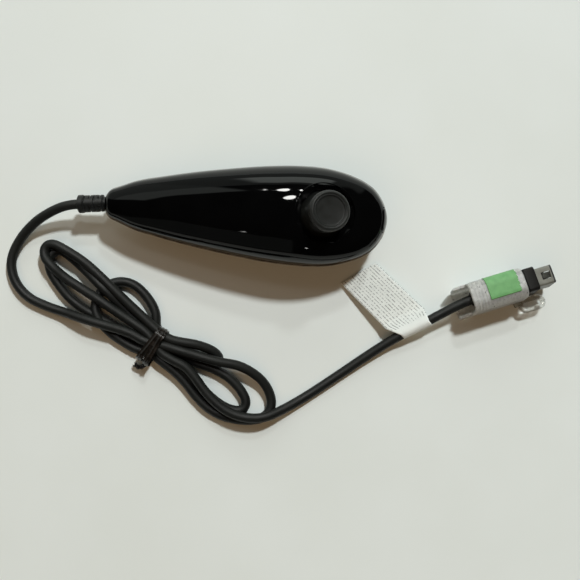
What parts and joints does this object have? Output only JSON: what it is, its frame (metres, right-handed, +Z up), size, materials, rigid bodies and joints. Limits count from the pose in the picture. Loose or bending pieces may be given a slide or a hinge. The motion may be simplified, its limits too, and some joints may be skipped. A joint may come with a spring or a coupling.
{
  "type": "one-handed motion game controller",
  "caption": "Teardrop-shaped one-handed motion game controller with a thumbstick, two front buttons, a tied cord, a paper tag and a plug in a clear guard.",
  "frame": {"origin": "on the table, under the middle of the controller's box, without its cord", "axes": "+X along the controller towards its buttons, +Z up out of the thumbstick side"},
  "size_m": [0.2215, 0.1068, 0.0375],
  "materials": {
    "board": "lacquered",
    "button_gloss": "satin black",
    "cap_rubber": "matt dark grey",
    "chip": "matt black",
    "connector_white": "matt",
    "contact_brass": "plain",
    "cord_rubber": "satin black",
    "dome_plastic": "matt dark grey",
    "guard_clear": "frosted clear plastic",
    "housing_metal": "plain",
    "inner_plastic": "matt",
    "label_green": "satin green",
    "latch_metal": "plain",
    "membrane_rubber": "matt",
    "plug_black": "satin black",
    "plug_grey": "matt grey",
    "relief_rubber": "matt black",
    "sensor_plastic": "matt",
    "shell_gloss": "polished black",
    "spring_steel": "plain",
    "steel": "plain",
    "tag_paper": "coated white",
    "tie_plastic": "satin black"
  },
  "bodies": {
    "controller": {"top_shell": "shell_gloss", "bottom_shell": "shell_gloss", "shell_screws": "steel", "strain_relief": "relief_rubber", "z_hinge_pin": "steel", "z_spring": "spring_steel", "button_bracket": "inner_plastic", "button_board": "board", "button_membrane": "membrane_rubber", "stick_housing": "housing_metal", "fore_aft_sensor": "sensor_plastic", "side_to_side_sensor": "sensor_plastic", "stick_spring": "spring_steel", "spring_plate": "inner_plastic", "main_board": "board", "board_screws": "steel", "motion_sensor": "chip", "controller_chip": "chip", "cable_header": "connector_white", "cable_housing": "connector_white", "inner_wires": "cord_rubber", "cord_lead": "cord_rubber", "cord_hank": "cord_rubber", "cord_run": "cord_rubber", "twist_tie": "tie_plastic", "cord_tag": "tag_paper", "plug_body": "plug_black", "plug_tip": "plug_grey", "plug_tongue": "plug_grey", "plug_contacts": "contact_brass", "plug_guard": "guard_clear", "guard_label": "label_green"},
    "c_button": {"c_button": "button_gloss"},
    "z_button": {"z_button": "button_gloss"},
    "yoke": {"gimbal_yoke": "inner_plastic"},
    "stick": {"stick_lever": "inner_plastic", "stick_dome": "dome_plastic", "stick_cap": "cap_rubber"},
    "rocker": {"cross_rocker": "inner_plastic"},
    "upper_latch": {"plug_latch_upper": "latch_metal"},
    "lower_latch": {"plug_latch_lower": "latch_metal"}
  },
  "joints": [
    {"name": "stick_fore_aft", "type": "hinge", "parent": "controller", "child": "yoke", "pos_m": [0.03501, 0, 0.02092], "axis": [0, 1, 0], "range_deg": [-14, 14], "stiffness_Nm_per_rad": 0.03},
    {"name": "stick_sideways", "type": "hinge", "parent": "yoke", "child": "stick", "pos_m": [0.03501, 0, 0.02092], "axis": [0.9781, 0, -0.2079], "range_deg": [-14, 14], "stiffness_Nm_per_rad": 0.03},
    {"name": "rocker_turn", "type": "hinge", "parent": "controller", "child": "rocker", "pos_m": [0.03501, 0, 0.02092], "axis": [0.9781, 0, -0.2079], "range_deg": [-14, 14]},
    {"name": "small_button_press", "type": "slide", "parent": "controller", "child": "c_button", "axis": [-0.9986, 0, -0.0523], "range_m": [0, 0.0009], "stiffness_N_per_m": 600, "springref_m": -0.0008},
    {"name": "large_button_press", "type": "hinge", "parent": "controller", "child": "z_button", "pos_m": [0.0551, 0, 0.01428], "axis": [0, 1, 0], "range_deg": [0, 5], "stiffness_Nm_per_rad": 0.04, "springref_deg": -5.73},
    {"name": "upper_latch_flex", "type": "hinge", "parent": "controller", "child": "upper_latch", "pos_m": [0.11911, -0.01885, 0.01246], "axis": [-0.354, 0.9221, -0.1564], "range_deg": [0, 3], "stiffness_Nm_per_rad": 0.02, "springref_deg": -2.86},
    {"name": "lower_latch_flex", "type": "hinge", "parent": "controller", "child": "lower_latch", "pos_m": [0.1196, -0.02012, 0.00386], "axis": [0.354, -0.9221, 0.1564], "range_deg": [0, 3], "stiffness_Nm_per_rad": 0.02, "springref_deg": -2.86}
  ],
  "couplings": [
    {"joint": "rocker_turn", "follows": "stick_sideways", "ratio": 1}
  ]
}
